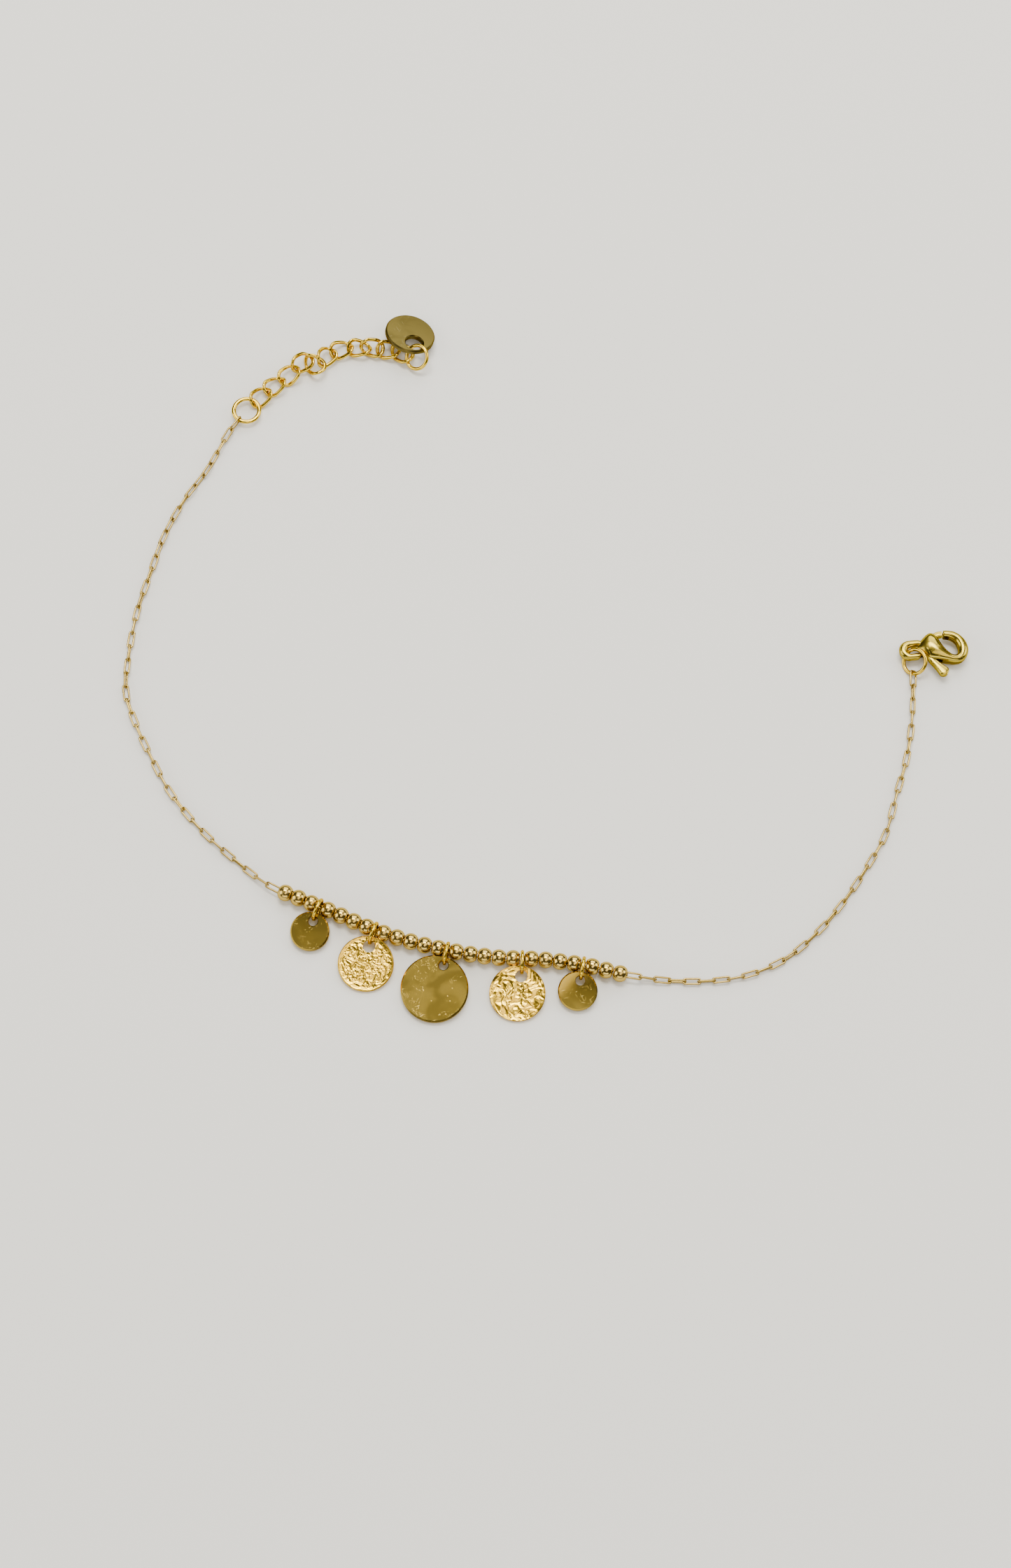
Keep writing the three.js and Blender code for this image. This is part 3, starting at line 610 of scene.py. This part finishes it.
# sections along the belly and round the hook: the inner edge x, y, the outer edge x, y and the half height
clasp = {
    "sections": [
        (1.25, 0.95, 1.55, -0.6, 0.5), (1.65, 1.45, 1.85, -0.85, 0.8), (2.1, 1.95, 2.15, -1.05, 1.03),
        (2.6, 2.42, 2.45, -1.22, 1.2), (3.15, 2.68, 2.75, -1.36, 1.32), (3.72, 2.5, 3.1, -1.48, 1.375),
        (4.2, 1.95, 3.5, -1.56, 1.37), (4.6, 1.28, 3.95, -1.64, 1.33), (5.0, 0.6, 4.5, -1.74, 1.26),
        (5.5, -0.06, 5.15, -1.86, 1.16), (6.05, -0.58, 5.9, -1.98, 1.05), (6.6, -0.82, 6.7, -2.08, 0.96),
        (6.98, -0.74, 7.6, -1.94, 0.92), (7.18, -0.42, 8.3, -1.4, 0.91), (7.24, 0.05, 8.72, -0.5, 0.91),
        (7.18, 0.58, 8.74, 0.5, 0.91), (6.98, 1.08, 8.37, 1.5, 0.91), (6.68, 1.46, 7.67, 2.32, 0.9),
        (6.22, 1.76, 6.86, 2.84, 0.88), (5.72, 1.92, 5.95, 3.04, 0.86), (5.24, 1.98, 5.2, 3.06, 0.82),
        (5.1, 2.15, 5.08, 2.88, 0.6),
    ],
    "wallTop": 0.22, "ledge": 0.07, "step": 0.06, "foot": ((-0.86, -0.86), (-0.6, -1)), "footTop": -0.55,
    "sides": 28, "easing": 4, "sharp": 50,
    "eye": {"radius": 1.05, "wire": 1.06, "tall": 1.25, "stretch": (1.0, 0.12), "holeAside": 0.25,
            "steps": 56, "sides": 20},
    "turn": 1, "pinLocal": (3.193, 0.7725), "pin": 0.3, "pinPlay": 0.1, "pinSunk": 0.2,
    "lever": [(4.96, 2.5, 0.42), (4.5, 2.46, 0.44), (4.0, 2.25, 0.45), (3.55, 1.65, 0.45), (3.19, 0.78, 0.75),
              (3.02, 0.1, 0.6), (2.98, -0.8, 0.5), (3.2, -1.45, 0.48), (3.75, -2.15, 0.5), (4.4, -2.85, 0.62),
              (4.92, -3.42, 0.78)],
    "leverThick": 1.0, "slack": 0.1, "leverEasing": 5, "leverCorner": (0.72, 0.85, 0.92),
    "tabEnd": {"shares": (0.3, 0.55, 0.75, 0.88, 0.96, 1.0), "reach": 0.85, "least": 0.2},
    # room for the lever: from and to an angle round the pin, and how far out
    "slots": [(12, 72, 3.02), (60, 100, 1.5), (-132, -50, 3.02)], "slotSteps": 10, "hub": 0.9,
}
hinge = frame["joints"][0]
pin = Vector(hinge["pos_m"]) / mm
claspPlace = Matrix.Translation(pin) @ Matrix.Rotation(math.radians(clasp["turn"]), 4, "Z") \
    @ Matrix.Translation((-clasp["pinLocal"][0], -clasp["pinLocal"][1], 0))


# a closed section drawn out through places given as (edge x, y, other edge x, y, half height)
def drawnOut(places, section):
    bm = bmesh.new()
    frames = []
    for place in places:
        one, other = Vector((*place[0:2], 0)), Vector((*place[2:4], 0))
        across = (one - other).normalized()
        turn = Matrix((across, Vector((0, 0, 1)), across.cross(Vector((0, 0, 1))))).transposed().to_4x4()
        size = Matrix.Diagonal(((one - other).length / 2, place[4], 1, 1))
        frames.append(Matrix.Translation((one + other) / 2) @ turn @ size)
    verts = [bm.verts.new((u, v, 0)) for u, v in section]
    edges = [bm.edges.new(pair) for pair in zip(verts, verts[1:] + verts[:1])]
    bmesh.ops.transform(bm, matrix=frames[0], verts=verts)
    start = list(edges)
    for before, after in zip(frames, frames[1:]):
        made = bmesh.ops.extrude_edge_only(bm, edges=edges)["geom"]
        edges = [g for g in made if isinstance(g, bmesh.types.BMEdge)]
        verts = [g for g in made if isinstance(g, bmesh.types.BMVert)]
        bmesh.ops.transform(bm, matrix=after @ before.inverted(), verts=verts)
    bmesh.ops.holes_fill(bm, edges=start + edges, sides=0)
    tidy(bm)
    return bm


def easedPlaces(places, perSpan):
    line = []
    for i in range(len(places) - 1):
        a, b, c, d = (Vector(places[min(max(j, 0), len(places) - 1)]) for j in (i - 1, i, i + 1, i + 2))
        for k in range(perSpan):
            t = k / perSpan
            line.append(tuple(0.5 * (2 * b + (c - a) * t + (2 * a - 5 * b + 4 * c - d) * t ** 2
                                     + (3 * b - a - 3 * c + d) * t ** 3)))
    return line + [tuple(places[-1])]


def slotCutter(fromAngle, toAngle, radius, half):
    bm = bmesh.new()
    centre = bm.verts.new((0, 0, -half))
    steps, arc = clasp["slotSteps"], []
    for i in range(steps + 1):
        angle = math.radians(fromAngle + (toAngle - fromAngle) * i / steps)
        arc.append(bm.verts.new((radius * math.cos(angle), radius * math.sin(angle), -half)))
    face = bm.faces.new([centre] + arc)
    made = bmesh.ops.extrude_face_region(bm, geom=[face])["geom"]
    lifted = [g for g in made if isinstance(g, bmesh.types.BMVert)]
    bmesh.ops.translate(bm, vec=(0, 0, 2 * half), verts=lifted)
    bmesh.ops.translate(bm, vec=(*clasp["pinLocal"], 0), verts=bm.verts)
    tidy(bm)
    return bm


def drum(radius, half, steps=40):
    bm = turned([(0, -half), (radius, -half), (radius, half), (0, half)], steps)
    bmesh.ops.translate(bm, vec=(*clasp["pinLocal"], 0), verts=bm.verts)
    return bm


def makeClaspBody():
    top, ledge = clasp["wallTop"], clasp["ledge"]
    section = []
    for i in range(clasp["sides"] // 2 + 1):   # the domed top
        angle = math.pi * i / (clasp["sides"] // 2)
        section.append((math.cos(angle), top + (1 - top) * math.sin(angle)))
    wall = [(-1 + ledge, top - clasp["step"]), (-1 + ledge, clasp["footTop"]), *clasp["foot"]]
    section += wall + [(-u, v) for u, v in reversed(wall)]
    bm = drawnOut(easedPlaces(clasp["sections"], clasp["easing"]), section)
    form = clasp["eye"]
    eye = wireRing(form["radius"], form["wire"], form["steps"], form["sides"], form["tall"])
    inner = [v for v in eye.verts if v.co.xy.length < form["radius"]]
    bmesh.ops.translate(eye, vec=(*form["stretch"], 0), verts=[v for v in eye.verts if v.co.x > 0])
    bmesh.ops.translate(eye, vec=(form["holeAside"], 0, 0), verts=inner)
    bm = cutOrJoin(bm, eye, "UNION")
    half = clasp["leverThick"] / 2 + clasp["slack"]
    for fromAngle, toAngle, reach in clasp["slots"]:
        bm = cutOrJoin(bm, slotCutter(fromAngle, toAngle, reach, half), "DIFFERENCE")
    bm = cutOrJoin(bm, drum(clasp["hub"], half), "DIFFERENCE")
    bm = cutOrJoin(bm, drum(clasp["pin"], half + clasp["pinSunk"]), "UNION")
    finishPiece(bm, "claspBody", "claspGold", ["clasp_body"], place=claspPlace, sharp=clasp["sharp"])


def makeClaspLever():
    eased = easedPlaces(clasp["lever"], clasp["leverEasing"])
    last, before = Vector(eased[-1][:2]), Vector(eased[-2][:2])
    way, width = (last - before).normalized(), eased[-1][2]
    end = clasp["tabEnd"]
    for share in end["shares"]:   # the tab's rounded end
        narrowed = width * max(math.sqrt(1 - share ** 2), end["least"])
        eased.append((*(last + way * width * share * end["reach"]), narrowed))
    edges = []
    for i, (x, y, width) in enumerate(eased):
        way = Vector(eased[min(i + 1, len(eased) - 1)][:2]) - Vector(eased[max(i - 1, 0)][:2])
        side = Vector((-way.y, way.x)).normalized() * width
        edges.append((x + side.x, y + side.y, x - side.x, y - side.y, clasp["leverThick"] / 2))
    corner, u, v = clasp["leverCorner"]
    section = [(1, -corner), (1, corner), (u, v), (corner, 1), (-corner, 1), (-u, v),
               (-1, corner), (-1, -corner), (-u, -v), (-corner, -1), (corner, -1), (u, -v)]
    bm = drawnOut(edges, section)
    bm = cutOrJoin(bm, drum(clasp["pin"] + clasp["pinPlay"], clasp["leverThick"]), "DIFFERENCE")
    finishPiece(bm, "claspLever", "claspGold", ["clasp_lever"], body="lever", place=claspPlace,
                sharp=clasp["sharp"])


makeClaspBody()
makeClaspLever()
print("clasp ready")


studio = {
    "floor": (0.86, 0.86, 0.825), "floorRoughness": 0.6, "floorShine": 0.2, "floorReach": 3,
    "world": (0.30, 0.29, 0.27), "worldStrength": 0.32,
}

bm = bmesh.new()
bmesh.ops.create_grid(bm, x_segments=1, y_segments=1, size=studio["floorReach"])
floor = bpy.data.objects.new("floor", toMesh(bm, "floor"))
bpy.context.scene.collection.objects.link(floor)
paper = bpy.data.materials.new("paleFloor")
paper.use_nodes = True
surface = paper.node_tree.nodes["Principled BSDF"].inputs
surface["Base Color"].default_value = (*studio["floor"], 1)
surface["Roughness"].default_value = studio["floorRoughness"]
surface["Specular IOR Level"].default_value = studio["floorShine"]
floor.data.materials.append(paper)

world = bpy.data.worlds.new("room")
bpy.context.scene.world = world
world.use_nodes = True
background = world.node_tree.nodes["Background"].inputs
background["Color"].default_value = (*studio["world"], 1)
background["Strength"].default_value = studio["worldStrength"]

# each lamp: where it hangs and its size, in metres, and how bright and what colour it looks
lamps = {
    "window": {"at": (0.15, 0.95, 0.75), "size": (1.1, 0.7), "glow": 4.5, "tint": (1, 0.98, 0.94)},
    "side": {"at": (-1.0, -0.1, 0.5), "size": (0.7, 0.8), "glow": 3.8, "tint": (1, 0.97, 0.92)},
    "right": {"at": (1.0, 0.2, 0.6), "size": (0.6, 0.7), "glow": 4.5, "tint": (1, 0.98, 0.95)},
    "front": {"at": (-0.1, -1.1, 0.42), "size": (1.4, 0.4), "glow": 3, "tint": (1, 0.96, 0.9)},
    "ceilingA": {"at": (-0.24, 0.52, 1.3), "size": (0.42, 0.42), "glow": 15, "tint": (1, 0.97, 0.9)},
    "ceilingB": {"at": (0.16, 0.42, 1.3), "size": (0.42, 0.42), "glow": 15, "tint": (1, 0.97, 0.9)},
    "overhead": {"at": (0, 0.18, 1.5), "size": (1.5, 0.7), "glow": 0.32, "tint": (1, 0.96, 0.86)},
    "near": {"at": (0.35, -0.34, 1.45), "size": (1.35, 0.62), "glow": 2.8, "tint": (1, 0.89, 0.76)},
}
for name, lamp in lamps.items():
    light = bpy.data.lights.new(name, "AREA")
    light.shape = "RECTANGLE"
    light.size, light.size_y = lamp["size"]
    light.energy = lamp["glow"] * math.pi * lamp["size"][0] * lamp["size"][1]
    light.color = lamp["tint"]
    thing = bpy.data.objects.new(name, light)
    thing.location = lamp["at"]
    thing.rotation_euler = Vector(lamp["at"]).to_track_quat("Z", "Y").to_euler()
    thing.visible_camera = False
    bpy.context.scene.collection.objects.link(thing)
print("light ready")
